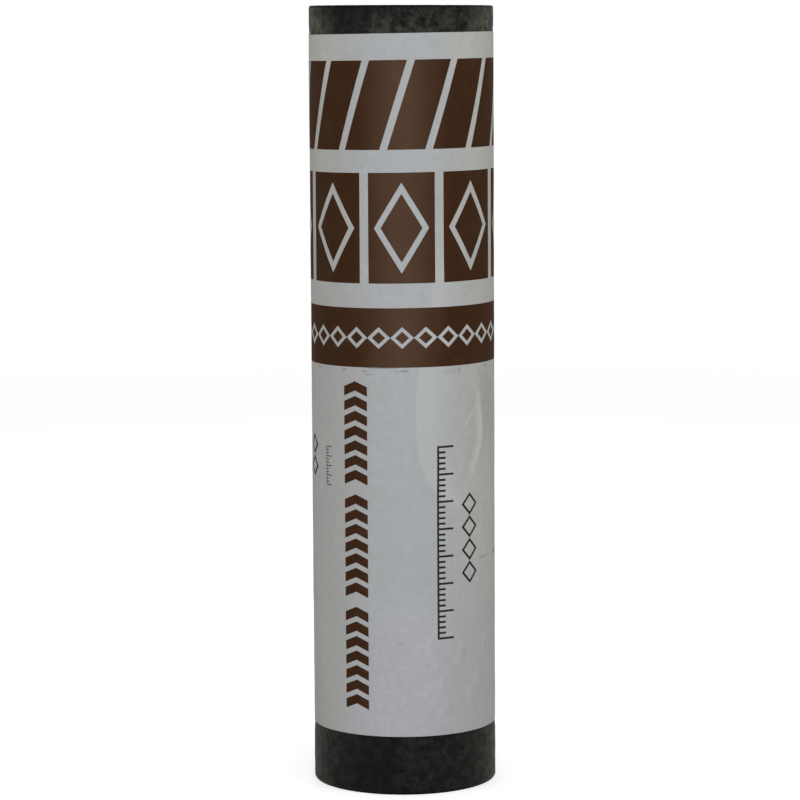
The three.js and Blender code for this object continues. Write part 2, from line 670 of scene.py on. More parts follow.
DIRT_AND_SHADE = srgb(96, 98, 101)
# Broad painted light and shade: painted highlights over the lower middle of the front and at the upper
# corners, painted shade on the flanks and a little right of the middle.
PAINTED_LIGHT_AND_SHADE = (
    Patch(mm(0, 30), mm(88, 150), srgb(179, 180, 187), 0.95),
    Patch(mm(92, 40), mm(68, 190), srgb(169, 170, 175), 0.85),
    Patch(mm(-82, 320), mm(52, 400), srgb(169, 170, 170), 0.85),
    Patch(mm(62, 470), mm(30, 420), srgb(172, 174, 177), 0.3),
    Patch(mm(-132, 0), mm(60, 120), srgb(169, 169, 166), 0.8),
    Patch(mm(108, 813), mm(60, 220), srgb(184, 185, 180), 0.9),
    Patch(mm(-122, 813), mm(58, 75), srgb(184, 185, 179), 0.9),
)
# Dark marks: painted shadows in the creases and wrinkles low on the front, and short dark marks just below
# the brown band.
SHADOWS_AND_SMUDGES = tuple(
    Patch(mm(x, y), mm(wide, high), DIRT_AND_SHADE, share, ragged)
    for x, y, wide, high, share, ragged in (
        (114, 203, 17, 2.6, 0.34, 2.0),
        (147, 204, 15, 4.0, 0.45, 3.0),
        (-2, 109, 9, 3.5, 0.15, 2.0),
        (77, 93, 3.5, 12, 0.1, 1.5),
        (79, 127, 3, 10, 0.09, 1.5),
        (57, 28, 3.5, 11, 0.1, 1.5),
        (97, 26, 4, 11, 0.09, 1.5),
        (35, 30, 3, 9, 0.07, 1.5),
        (66, 56, 3, 9, 0.08, 1.5),
        (-72, 427.8, 4.5, 1.8, 0.5, 1.5),
        (-45, 427.0, 7, 1.6, 0.4, 1.5),
        (-40, 423.4, 6, 1.5, 0.3, 1.5),
        (-24, 431.0, 27, 1.3, 0.5, 1.0),
        (3, 427.6, 6, 1.8, 0.45, 1.5),
        (-7, 427.0, 8, 1.4, 0.25, 1.5),
        (57, 425.0, 11, 5.0, 0.12, 1.0),
        (70, 425.4, 3.4, 4.8, 0.34, 1.5),
        (-122, 427.8, 9, 2.0, 0.28, 2.0),
        (116, 427.5, 9, 2.4, 0.22, 2.0),
    )
)


@dataclass(frozen=True)
class PaperFinish:
    """Uncoated grey-white wrapping paper with brown and dark ink."""

    shown: Pair  # the stretch across from the sheet's outer end once round to that end
    brown_print: tuple[Motif, ...] = BROWN_PRINT
    dark_print: tuple[Motif, ...] = DARK_PRINT
    sheet: Colour = srgb(173, 177, 181)  # on the front, bluish: a painted tint of cool front light
    warm_lit_paper: Colour = srgb(177, 178, 174)  # round the sides and the back, warmer: a painted tint of warm side light
    warm_lit_from: Pair = mm(20, 115)  # how far from the front's middle the painted warm tint starts, and is whole
    thick_pulp: Colour = srgb(158, 160, 161)
    pulp_share: float = 0.46  # how much of that colour the thickest of its pulp has
    brown: Colour = srgb(57, 36, 21)
    # the brown ink under a painted highlight
    highlit_brown: Colour = srgb(84, 64, 50)
    dark: Colour = srgb(35, 31, 30)
    dark_cover: float = 0.985
    marks: tuple[tuple[str, float, Colour], ...] = (  # what the attributes lay on: share and colour
        # the loose paper is painted lighter: a painted highlight
        ("loose", 0.8, srgb(179, 182, 183)),
        ("creased", 0.5, srgb(205, 206, 204)),
        # painted shade beside the pocket's fold
        ("soiled", 0.14, DIRT_AND_SHADE),
    )
    # broad painted highlights and painted shade
    painted_light_and_shade: tuple[Patch, ...] = PAINTED_LIGHT_AND_SHADE
    # painted crease shadows and short dark marks
    shadows_and_smudges: tuple[Patch, ...] = SHADOWS_AND_SMUDGES
    highlight_reach: float = 60 * MM  # how far from the front's middle the painted highlight on the brown ink reaches
    bare_margin: float = 7 * MM  # how far from the sheet's outer end the print stops
    seam_reach: Pair = mm(2.6, 0.9)  # how far dirt with a painted shadow lies beside that end, and on it
    seam_dirt_and_shade: Pair = (0.75, 0.35)  # how strong they are in both places
    relief: float = 0.6 * MM
    roughness: float = 0.78
    specular: float = 0.05

    def make(self) -> bpy.types.Material:
        """Builds the material.

        Returns:
            The material, which reads the wrapper's own pattern map and attributes.
        """
        finish = Finish("wrapper_paper")
        across, up = finish.sheet().axes("X", "Y")
        fine = finish.noise(9 * MM, detail=4, rough=0.65, climb=2.5)
        pulp = finish.noise(9 * MM, detail=4, rough=0.75)

        # The bare paper and its pulp, whitened folds and dark marks, with painted light and shade: a cool
        # tint on the front, a warm one round the sides and back, broad lighter and darker patches, a painted
        # highlight on the loose pocket, painted shade by its fold and painted shadows in the creases.
        colour = abs(across).spread(*self.warm_lit_from).blend(self.sheet, self.warm_lit_paper)
        # broad patches of painted highlight and painted shade
        for lit_patch in self.painted_light_and_shade:
            colour = lit_patch.tint(colour, across, up, fine)
        thick = (finish.noise(80 * MM, detail=2) * 0.25 + pulp * 0.75).spread(0.35, 0.65)
        colour = (thick * self.pulp_share).blend(colour, self.thick_pulp)
        for mark, share, tint in self.marks:
            colour = (finish.mark(mark) * share).blend(colour, tint)
        # painted shadows in creases and wrinkles, and dark marks below the band
        for dark_mark in self.shadows_and_smudges:
            colour = dark_mark.tint(colour, across, up, fine)

        # The print, whose brown ink is paler in patches, and over the middle of the front with a painted
        # highlight.
        brown, dark = (
            functools.reduce(operator.or_, (motif.ink(across, up) for motif in motifs))
            for motifs in (self.brown_print, self.dark_print)
        )
        brown = brown * across.below(self.shown[1] - self.bare_margin)
        patchy = finish.noise(35 * MM, detail=5, rough=0.65).spread(0.45, 0.75)
        # Paler brown: a painted highlight over the middle of the front, and thin ink in patches.
        highlit_and_thin_ink = abs(across).spread(self.highlight_reach, 0.0) * 0.8 + patchy * 0.2
        colour = (brown * highlit_and_thin_ink.inverse()).blend(brown.blend(colour, self.highlit_brown), self.brown)
        colour = (dark * self.dark_cover).blend(colour, self.dark)

        # Dirt and a painted contact shadow along the seam, on both sheets.
        (low, high), (beside, edge), (dark_beside, dark_on_edge) = self.shown, self.seam_reach, self.seam_dirt_and_shade
        inner = across.spread(low + beside, low) * pulp.spread(0.3, 0.6) * dark_beside
        colour = (inner | across.spread(high - edge, high) * dark_on_edge).blend(colour, DIRT_AND_SHADE)

        fibres, cockle = finish.noise(1.2 * MM, detail=4, rough=0.7), finish.noise(22 * MM, climb=0.35)
        inputs = {
            "Base Color": colour,
            "Roughness": finish.dull(self.roughness, 0.08, 6 * MM),
            "Specular IOR Level": self.specular,
            "Normal": finish.bump(fibres * 0.12 + cockle * 0.5, self.relief, 0.5),
        }
        feed(finish.shader, inputs)
        return finish.material


# ---------------------------------------- The object ----------------------------------------


@dataclass(frozen=True)
class Winding:
    """How the sheet is wound: an Archimedean spiral, outwards and anticlockwise from above."""

    height: float  # the sheet's width, which is the standing roll's height
    sheet_length: float = 10972.8 * MM
    thickness: float = 2.85 * MM
    bore_radius: float = 38.1 * MM
    end_angle: float = math.radians(112)  # where the sheet's outer end lies
    columns: int = 240  # steps in one turn

    @property
    def first_middle(self) -> float:
        """Radius of the sheet's middle where the winding starts."""
        return self.bore_radius + self.thickness / 2

    @property
    def steps(self) -> int:
        """Steps in the whole winding, from pi t n^2 + 2 pi (bore + t/2) n = length, solved for n turns."""
        root = math.sqrt(self.first_middle**2 + self.thickness * self.sheet_length / math.pi)
        return round((root - self.first_middle) / self.thickness * self.columns)

    @property
    def outer_radius(self) -> float:
        """The roll's radius where the sheet ends."""
        return float(self.inner_face(np.array(self.steps))) + self.thickness

    @property
    def covered_length(self) -> float:
        """Length of sheet that lies under the outermost turn."""
        return float(self.travelled(np.array(self.steps - self.columns)))

    def inner_face(self, step: Array) -> Array:
        """Radius of the sheet's inner face: the bore plus one thickness for each turn."""
        return self.bore_radius + self.thickness * step / self.columns

    def angle(self, step: Array) -> Array:
        """Angle after some steps."""
        return self.end_angle + (step - self.steps) * TURN / self.columns

    def travelled(self, step: Array) -> Array:
        """Length of sheet wound after some steps: the spiral's area over the thickness."""
        radius = self.inner_face(step) + self.thickness / 2
        return math.pi * (radius**2 - self.first_middle**2) / self.thickness

    def turn(self, outermost: bool) -> Array:
        """The steps of the outermost turn or of the first one, both ends included."""
        return np.arange(self.columns + 1) + (self.steps - self.columns) * outermost

    @property
    def axis(self) -> Array:
        """Finds the bore's middle when the roll's own box is centred on the origin.

        Returns:
            Its x and y.
        """
        step = self.turn(outermost=True)
        radius, angle = self.inner_face(step) + self.thickness, self.angle(step)
        side = np.stack([radius * np.cos(angle), radius * np.sin(angle)])
        return -(side.min(axis=1) + side.max(axis=1)) / 2

    def place(self, radius: Array, angle: Array, height: Array) -> Array:
        """Turns distances from the bore's middle line, angles and heights into points, x, y, z last."""
        (x, y), (radius, angle, height) = self.axis, np.broadcast_arrays(radius, angle, height)
        return np.stack([x + radius * np.cos(angle), y + radius * np.sin(angle), height], axis=-1)


@dataclass(frozen=True)
class CutEnd:
    """One of the roll's two ends, which shows the sheet's cut edge."""

    top: bool
    seed: int  # sets its unevenness
    rim_rounding: float  # how much further its outer rim is rounded off
    out_of_square: float  # how much further in it lies on its right than on its left
    bake_middle: Pair


@dataclass
class FeltRoll:
    """The wound felt sheet: one closed surface, with its turns showing on both ends."""

    winding: Winding
    bare_below: float  # the height up to which the felt shows under the wrapper
    bare_above: float  # the height from which it shows above the wrapper
    ends: tuple[CutEnd, CutEnd] = (
        CutEnd(True, 11, 0.8 * MM, 0.9 * MM, (0.21, 0.42)),
        CutEnd(False, 23, 0.2 * MM, 0.0, (0.63, 0.42)),
    )
    edge_shares: tuple[float, ...] = (0.0, 0.08, 0.2, 0.5, 0.8, 0.92)  # points across the cut edge, as shares
    edge_drops: tuple[float, ...] = mm(1.7, 0.75, 0.2, 0.0, 0.2, 0.75)  # how low each of them lies
    telescoping: float = 1.5 * MM  # how far a turn's edge may lie below the end's plane
    drift: Pair = (0.35, 2.6)  # the shortest and longest stretch of sheet over which that changes
    drift_ends: Pair = (-1.6, 1.9)  # values of that wave where a turn lies highest and lowest
    settled: Pair = (1.3, 1.0)  # turns before the sheet's end where it starts to lie flush, and does
    raggedness: float = 0.09 * MM
    # How far the side flares out below and above the wrapper, and where that starts and is whole.
    flares: tuple[tuple[float, ...], ...] = (mm(0.75, 1, 12), mm(0.4, 2.5, 12))
    swelling: Waviness = Waviness(5, mm(18, 120), 14, height=0.1 * MM)
    end_gap: float = 2.5 * MM  # how far from both ends the walls' own rows start
    tucked: float = 4 * MM  # how far the close rows run on under the wrapper
    rows: tuple[int, int, int] = (16, 6, 10)  # of the walls below, behind and above the wrapper
    bake_radius: float = 0.2
    bake_side: tuple[float, ...] = (0.0, 0.1, 0.12, 0.17)  # at its base, below, above and at its top
    bake_bore: Pair = (0.66, 0.9)
    bake_sheet_ends: tuple[Pair, Pair] = ((0.94, 0.96), (0.97, 0.99))
    skin: Skin = field(default_factory=Skin)

    def end_depths(self, end: CutEnd) -> Array:
        """Works out how far each point of a cut end lies inside the end's plane.

        A point's depth is its place on the edge's profile, plus how far its turn is wound in,
        plus the raggedness of the cut. A groove between two turns goes by the deeper of them.
        The outermost turn carries the roll, so it reaches the plane, and its outer rim is rounded
        off by the cube of the share across it.

        Args:
            end: Which end.

        Returns:
            Depths at each step's profile points, then at the outer rim after each step of the last turn.
        """
        wind, shares = self.winding, np.array(self.edge_shares)
        step = np.arange(wind.steps + 1)
        last = smoothstep(step, *(wind.steps - turns * wind.columns for turns in self.settled))
        wave = Waviness(end.seed, self.drift).at(wind.travelled(step))
        wound_in = self.telescoping * smoothstep(wave, *self.drift_ends) * (1 - last)
        alone = np.full(wind.columns, -np.inf)
        deeper = np.maximum(np.append(wound_in, alone), np.append(alone, wound_in))
        grooves = deeper + self.edge_drops[0]
        draw = np.random.default_rng(end.seed)
        ragged = np.abs(draw.normal(0, self.raggedness, (len(step), len(shares))))
        rounded = end.rim_rounding * last[:, None] * shares**3
        depths = wound_in[:, None] + np.array(self.edge_drops) + ragged + rounded
        depths[:, 0] = grooves[: len(step)]
        return np.append(depths, grooves[len(step) :] + end.rim_rounding)

    def add_end(self, end: CutEnd) -> tuple[Array, Array]:
        """Adds one cut end: a grid of steps along the sheet by points across its edge.

        The last point across is the first point one turn further out, so the turns join. The
        end's plane sinks evenly from its left to its right.

        Args:
            end: Which end.

        Returns:
            The rim vertices at each step's inner face, running one turn past the last step, and
            the vertices across the sheet's edge at each step.
        """
        wind, count = self.winding, self.winding.steps + 1
        every = np.arange(count + wind.columns)
        step, after = every[:count, None], every[count:]
        radius = wind.inner_face(step) + np.array(self.edge_shares) * wind.thickness
        outward = np.append(radius, wind.inner_face(after))
        about = np.append(np.repeat(wind.angle(step), radius.shape[1]), wind.angle(after))
        sunk = end.out_of_square * (1 + outward * np.cos(about) / wind.outer_radius) / 2
        inside = self.end_depths(end) + sunk
        height = wind.height - inside if end.top else inside
        numbers = self.skin.add_points(wind.place(outward, about, height))
        grid = numbers[: radius.size].reshape(radius.shape)
        rims = np.append(grid[:, 0], numbers[radius.size :])
        across = np.column_stack([grid, rims[wind.columns :]])

        full, angle = np.column_stack([radius, wind.inner_face(step) + wind.thickness]), wind.angle(step)
        pattern = plane_map(wind.travelled(step), full - wind.inner_face(step))
        flat = self.bake_radius * full / (wind.outer_radius + wind.thickness)
        bake = plane_map(flat * np.cos(angle), flat * np.sin(angle)) + end.bake_middle
        self.skin.add_grid(across, pattern, bake, flip=end.top)
        return rims, across

    def add_wall(self, outside: bool, top: Array, base: Array) -> Array:
        """Adds the roll's side or its bore, a grid of steps by heights between the rims of its ends.

        The rows lie close together where the felt is bare. A wall's radius is the inner face's. The
        side's has the thickness added and, past the tight wrapper's edges, a flare that grows by a
        smooth step and swells unevenly.

        Args:
            outside: Whether it is the side.
            top: The upper end's rim vertices.
            base: The lower end's rim vertices.

        Returns:
            The wall's vertices, steps by heights.
        """
        wind = self.winding
        step = wind.turn(outside)
        angle, travelled = wind.angle(step)[:, None], wind.travelled(step)[:, None]
        below, behind, above = self.rows
        low = np.linspace(self.end_gap, self.bare_below + self.tucked, below)
        high = np.linspace(self.bare_above - self.tucked, wind.height - self.end_gap, above)
        height = np.concatenate([low, np.linspace(low[-1], high[0], behind + 2)[1:-1], high])
        swell = self.swelling.at(angle * wind.outer_radius, height) * self.swelling.height
        gaps = (self.bare_below - height, height - self.bare_above)
        flare = sum((out + swell) * smoothstep(gap, *reach) for gap, (out, *reach) in zip(gaps, self.flares))
        radius = wind.inner_face(step)[:, None] + (wind.thickness + flare) * outside
        inner = self.skin.add_points(wind.place(radius, angle, height))

        rim = step + wind.columns * outside
        wall = np.column_stack([base[rim], inner, top[rim]])
        full = np.concatenate([[0.0], height, [wind.height]])
        if outside:
            lines = (0, self.bare_below, self.bare_above, wind.height)
            bake = plane_map(fit_into(step)[:, None], np.interp(full, lines, self.bake_side))
        else:
            bake = plane_map(fit_into(full), fit_into(step, self.bake_bore)[:, None])
        self.skin.add_grid(wall, plane_map(travelled, full + WALL_OFFSET), bake, flip=not outside)
        return wall

    def add_sheet_end(self, wall: Array, top: Array, base: Array, rows: Pair, flip: bool) -> None:
        """Closes the sheet's outer or inner end with one flat face.

        Args:
            wall: The vertices of the wall that it meets, steps by heights.
            top: The vertices across the sheet's upper edge at this end.
            base: The vertices across its lower edge.
            rows: Where it lies in the bake map.
            flip: Whether it is turned over.
        """
        loop = np.concatenate([base, wall[-1, 1:-1], top[::-1], wall[0, -2:0:-1]])
        places = np.concatenate(self.skin.points)[loop]
        radius = np.hypot(*(places[:, :2] - self.winding.axis).T)
        pattern = plane_map(places[:, 2], radius - radius.min())
        bake = plane_map(fit_into(places[:, 2]), fit_into(radius, rows))
        self.skin.add_faces(loop[None], pattern[None], bake[None], flip=flip)

    def build(self) -> bpy.types.Object:
        """Makes the roll.

        Returns:
            Its object.
        """
        rims, edges = zip(*(self.add_end(end) for end in self.ends))
        walls = [self.add_wall(outside, *rims) for outside in (True, False)]
        for wall, rows, last in zip(walls, self.bake_sheet_ends, (-1, 0)):
            top, base = (edge[last] for edge in edges)
            self.add_sheet_end(wall, top, base, rows, flip=last == -1)
        return self.skin.build("felt_roll_wound")


@dataclass(frozen=True)
class Crease:
    """A short fold in the paper: a low ridge along a straight line."""

    start: Pair
    end: Pair
    width: float  # the ridge's half-width
    height: float
    wear: float  # how far the fold has whitened, 0 to 1

    def ridge(self, across: Array, up: Array) -> Array:
        """Gives the ridge as exp(-(d / width)^2), where d is the distance from the line.

        Args:
            across: Place round the roll.
            up: Height on the paper.

        Returns:
            The ridge, 1 on the line.
        """
        (x, y), (run, rise) = self.start, np.subtract(self.end, self.start)
        share = np.clip(((across - x) * run + (up - y) * rise) / (run**2 + rise**2), 0, 1)
        return hump(np.hypot(across - x - share * run, up - y - share * rise), self.width)


CREASES = tuple(
    Crease(mm(x, y), mm(to_x, to_y), width * MM, height * MM, wear)
    for x, y, to_x, to_y, width, height, wear in (
        (79, 363, 98, 385, 1.7, 0.3, 0.6),
        (83, 370, 93, 373, 1.3, 0.2, 0.4),
        (100, 200, 146, 204, 3.0, 0.35, 0.2),
        (72, 108, 65, 85, 3.8, 0.7, 0.2),
        (47, 73, 42, 57, 4.0, 0.65, 0.2),
        (49, 40, 41, 19, 4.2, 0.65, 0.2),
        (98, 74, 93, 57, 4.0, 0.6, 0.2),
        (86, 52, 82, 36, 4.0, 0.5, 0.2),
        (66, 40, 60, 14, 3.8, 0.45, 0.1),
        (77, 134, 81, 117, 3.0, 0.4, 0),
        (112, 118, 110, 94, 3.6, 0.5, 0.2),
        (31, 114, 26, 98, 3.2, 0.35, 0.2),
        (-12, 105, 8, 101, 3.0, 0.15, 0),
        (132, 189, 131, 419, 5.0, 0.3, 0),
        (-118, 39, -112, 249, 6.0, 0.22, 0),
        (260, 59, 262, 329, 6.0, 0.3, 0),
        (-170, 149, -176, 419, 5.0, 0.28, 0),
        (-205, 352, -178, 300, 4.0, 0.8, 0.35),
        (-198, 118, -180, 60, 4.0, 0.9, 0.35),
        (-214, 226, -190, 214, 3.2, 0.6, 0.4),
        (398, 330, 352, 268, 4.5, 0.9, 0.3),
        (404, 152, 371, 128, 3.6, 0.7, 0.4),
        (338, 60, 330, 12, 4.0, 0.8, 0.35),
        (216, 240, 228, 186, 4.0, 0.7, 0.3),
        (190, 52, 182, 16, 3.8, 0.7, 0.35),
    )
)


@dataclass(frozen=True)
class Pocket:
    """A long loose place in the wrapper: closed to a round point below, with a narrow neck above.

    Its sides are given at some heights. Where a comment doesn't say otherwise, a pair is the two
    places between which something grows from nothing to its whole.
    """

    heights: tuple[float, ...] = mm(262, 273, 283, 300, 324, 341, 355, 381, 407, 507, 530, 590)
    left: tuple[float, ...] = mm(66, 48, 39, 27.5, 18, 16, 15.5, 15.5, 16, 34, 35, 43)
    right: tuple[float, ...] = mm(74, 83, 86.5, 92, 102, 109, 110.5, 105.5, 103.5, 78, 81, 90)
    rounding: float = 5 * MM
    tip: Pair = mm(262, 271)
    crown: Pair = mm(590, 530)
    loose_inside: tuple[Pair, Pair] = (mm(-1, 3), mm(0, 9))  # distances inside both sides
    swollen_inside: tuple[Pair, Pair] = (mm(-1, 20), mm(-2, 34))
    swell: float = 1.0 * MM
    lip: tuple[float, ...] = mm(1.5, 2.2, 0.14)  # its place inside the left, half-width and height
    lip_wear: float = 0.12  # how far it has whitened
    fold_base: Pair = mm(272, 332)
    fold_top: Pair = mm(412, 382)
    fold_inside: float = 2.5 * MM  # how far inside the right side the fold's crest runs
    fold_height: float = 2.0 * MM
    fold_widths: tuple[float, ...] = mm(5, 7, 3)  # outside, inside, and how much more in the belly
    fold_power: float = 1.5  # the power in its fall outside
    fold_wear: float = 0.62  # how far its crest has whitened
    wear_power: float = 1.3  # the power of its height in that
    belly: Pair = mm(392, 352)
    foot: Pair = mm(4, 5)  # distance past the fold and half-width of the painted shade along its foot
    foot_shade: float = 0.7
    # where the painted shade beside the fold grows, across and up
    shaded_sides: tuple[Pair, Pair] = (mm(-1, -6), mm(-46, -20))
    shaded_heights: tuple[Pair, Pair] = (mm(300, 380), mm(440, 405))
    # where the loose paper's painted highlight grows in from the left side
    loose_from_left: Pair = mm(55, 8)
    neck: Pair = mm(430, 500)
    neck_loose: float = 0.6

    def side(self, places: tuple[float, ...], up: Array) -> Array:
        """One side's place at some heights: straight from point to point, averaged over the rounding."""
        shifts = (-self.rounding, 0.0, self.rounding)
        return sum(np.interp(up + shift, self.heights, places) for shift in shifts) / len(shifts)

    def shape(self, across: Array, up: Array) -> tuple[Array, dict[str, Array]]:
        """Works out how the paper lies in it.

        A low lip runs along its left side. A folded ridge runs along its right side: it falls away
        as exp(-|d / width|^power), where d is the distance from its crest. Painted shade lies along
        the foot of the ridge inside and, in the upper part, outside.

        Args:
            across: Place round the roll.
            up: Height on the paper.

        Returns:
            How far the paper stands off the felt; how loose it is, where it gets a painted highlight;
            how creased it is; and the painted shade by its fold.
        """
        from_left = across - self.side(self.left, up)
        from_right = self.side(self.right, up) - across
        open_here = smoothstep(up, *self.crown) * smoothstep(up, *self.tip)
        inside, swollen = (
            smoothstep(from_left, *left) * smoothstep(from_right, *right) * open_here
            for left, right in (self.loose_inside, self.swollen_inside)
        )
        lip_in, lip_width, lip_height = self.lip
        lip = hump(from_left - lip_in, lip_width) * open_here

        crest = from_right - self.fold_inside
        folded = smoothstep(up, *self.fold_base) * smoothstep(up, *self.fold_top)
        outer_width, inner_width, more = self.fold_widths
        width = inner_width + more * smoothstep(up, *self.belly)
        outer_side = hump(crest, outer_width, self.fold_power)
        ridge = np.where(crest > 0, hump(crest, width), outer_side) * folded
        off = self.swell * swollen + lip_height * lip + self.fold_height * ridge
        creased = self.fold_wear * ridge**self.wear_power + self.lip_wear * lip

        # Painted shade along the fold's foot inside, and beside it outside in the upper part.
        foot = self.foot_shade * hump(crest - width - self.foot[0], self.foot[1]) * folded
        beside = [smoothstep(crest, *sides) for sides in self.shaded_sides]
        beside += [smoothstep(up, *heights) for heights in self.shaded_heights]
        # The loose paper is painted lighter, a painted highlight, in from its left side and in the neck.
        in_neck = self.neck_loose * smoothstep(up, *self.neck)
        loose = inside * np.maximum(smoothstep(from_left, *self.loose_from_left), in_neck)
        return off, {"loose": loose, "creased": creased, "soiled": foot + math.prod(beside)}


@dataclass
class PaperWrapper:
    """The paper sheet round the roll, pulled tight and glued to itself at the back."""

    winding: Winding
    base: float  # height of its lower edge
    width: float  # along the roll
    thickness: float = 0.2 * MM
    clearance: float = 0.3 * MM
    lap: float = 55 * MM  # how far the outer end covers the inner one
    lap_slope: float = 0.06  # the angle over which it climbs onto the inner one
    end_angle: float = math.radians(148)  # where the outer end lies
    end_lift: float = 0.5 * MM  # how far that end has come unstuck, at most
    lift_reach: float = 7 * MM  # how far from it that dies out
    lift_wave: float = 150 * MM  # how far up the end it comes and goes once
    lift_phase: float = 0.6
    skew: float = 1.4 * MM  # how far the upper edge rises to the right of the front
    pocket: Pocket = Pocket()
    creases: tuple[Crease, ...] = CREASES
    calm: float = 25 * MM  # how far from the sheet's ends its ripples are whole
    ripples: tuple[Waviness, Waviness] = (
        Waviness(31, mm(35, 190), 12, climb=0.6, height=0.1 * MM, steepness=0.8),
        Waviness(37, mm(9, 45), 14, climb=0.45, height=0.035 * MM),
    )
    crumpled_at: Pair = mm(74, 62)  # the middle of a crumpled place, across and up
    crumpled_reach: Pair = mm(54, 96)
    crumples: Waviness = Waviness(43, mm(13, 34), 12, climb=0.5, height=0.3 * MM)
    columns: int = 420
    rows: int = 225
    fine_columns: Pair = mm(5, 125)  # the stretch across where they are closer
    fine_rows: Pair = mm(0, 440)
    closer: Pair = (3.5, 1.9)  # how many times closer they are in both
    inner_rows: int = 5
    bake_outside: Pair = (0.0, 0.9)
    bake_inside: Pair = (0.91, 0.95)
    bake_rims: tuple[Pair, Pair] = ((0.96, 0.965), (0.97, 0.975))
    bake_seam: Pair = (0.985, 0.99)
    skin: Skin = field(default_factory=Skin)

    @property
    def mean_radius(self) -> float:
        """Mean radius of the wrapper."""
        return self.winding.outer_radius - self.winding.thickness / 2 + self.clearance

    @property
    def shown(self) -> Pair:
        """The stretch across that the outer face covers."""
        return self.across(self.end_angle - TURN), self.across(self.end_angle)

    def across(self, angle: float | Array) -> float | Array:
        """The place round the roll at an angle."""
        return (angle - FRONT_ANGLE) * self.mean_radius

    def felt_radius(self, angle: Array) -> Array:
        """Radius of the felt pulled over by a tight sheet.

        The outermost turn loses one thickness in a turn. Just past the felt's end the tight sheet
        leaves its corner and runs straight to where it touches the turn below: the touching line
        has the radius (turn below) / cos(angle left to the touching point).

        Args:
            angle: Angles.

        Returns:
            The radius.
        """
        wind = self.winding
        past = np.mod(angle - wind.end_angle, TURN)
        below = wind.outer_radius - wind.thickness
        touch = math.acos(below / wind.outer_radius)
        taut = below / np.cos(np.clip(touch - past, 0, None))
        return np.maximum(below + wind.thickness * past / TURN, np.where(past < touch, taut, 0))

    def relief(self, across: Array, up: Array) -> tuple[Array, dict[str, Array]]:
        """Works out how the paper lies: its loose pocket, folds, ripples and lifted end.

        The ripples die out towards the sheet's ends. The crumpled place fades as 1 - x^2 - y^2, in
        reaches from its middle. The end lifts by a wave along it, and that falls as exp(-d / reach).

        Args:
            across: Place round the roll.
            up: Height on the paper.

        Returns:
            How far it stands off the felt; how loose it is, where it gets a painted highlight; how
            creased it is; and the painted shade by its fold.
        """
        off, marks = self.pocket.shape(across, up)
        from_end = across.max() - across
        calm = smoothstep(np.minimum(across - across.min(), from_end), 0, self.calm)
        off = off + calm * sum(ripple.lumps(across, up) for ripple in self.ripples)
        (x, y), (reach, rise) = self.crumpled_at, self.crumpled_reach
        crumpled = np.clip(1 - ((across - x) / reach) ** 2 - ((up - y) / rise) ** 2, 0, 1)
        off = off + crumpled * self.crumples.lumps(across, up)
        for crease in self.creases:
            ridge = crease.ridge(across, up)
            off = off + crease.height * ridge
            marks["creased"] = np.maximum(marks["creased"], crease.wear * ridge)
        lifted = 0.5 + 0.5 * np.cos(TURN * up / self.lift_wave + self.lift_phase)
        return off + self.end_lift * lifted * hump(from_end, self.lift_reach, 1), marks

    def add_face(self, angle: Array, up: Array, above: float | Array) -> Array:
        """Adds the vertices of one of the paper's faces.

        The radius is the felt's, the clearance and what lies above it. The sheet is skewed, so each
        height rises by skew sin(angle from the front) height / width.

        Args:
            angle: Angles, as a column.
            up: Heights on the paper.
            above: How far each point lies above the felt, without the clearance.

        Returns:
            Their numbers, angles by heights.
        """
        radius = self.felt_radius(angle) + self.clearance + above
        rise = self.skew * np.sin(angle - FRONT_ANGLE) * up / self.width
        return self.skin.add_points(self.winding.place(radius, angle, self.base + up + rise))

    def add_rim(self, outer: Array, inner: Array, around: Array, rows: Pair, flip: bool) -> None:
        """Closes the paper's upper or lower edge.

        The edge is a strip of four-sided faces. The last of them has a fifth corner, where the
        outer face's start meets the edge under the paper's visible end.

        Args:
            outer: The outer face's vertices along this edge.
            inner: The inner face's vertices along it.
            around: Share of the way round, as a column.
            rows: Where it lies in the bake map.
            flip: Whether its faces are turned over.
        """
        strip, before = np.stack([outer, inner], axis=1)[:-1], around[-2, 0]
        blank = plane_map(0 * strip, np.array(BLANK))
        self.skin.add_grid(strip, blank, plane_map(around[:-1], np.array(rows)), flip=flip)
        last = np.array([[outer[-2], outer[-1], outer[0], inner[-1], inner[-2]]])
        places = plane_map((before, 1, 1, 1, before), fit_into(np.array([0, 0, 0.5, 1, 1]), rows))
        self.skin.add_faces(last, np.full((1, 5, 2), BLANK), places[None], flip=flip)

    def build(self) -> bpy.types.Object:
        """Makes the wrapper as one closed sheet.

        The outer and inner faces are grids of angles by heights. The outer face runs from just
        past the paper's visible end, once round, to that end, where it lies on two thicknesses.

        Returns:
            The wrapper's object.
        """
        fine = tuple(FRONT_ANGLE + place / self.mean_radius for place in self.fine_columns)
        ends = (self.end_angle - TURN, self.end_angle)
        angle = graded(ends, self.columns, fine, self.closer[0])[:, None]
        up = graded((0, self.width), self.rows, self.fine_rows, self.closer[1])
        inner_up = np.linspace(0, self.width, self.inner_rows)
        across = self.across(angle)
        off, marks = self.relief(across, up)
        lap_start = self.end_angle - self.lap / self.mean_radius
        second = smoothstep(angle, lap_start - self.lap_slope, lap_start)
        outer = self.add_face(angle, up, (1 + second) * self.thickness + off)
        inner = self.add_face(angle[:-1], inner_up, 0.0)
        inner = np.concatenate([inner, inner[:1]])

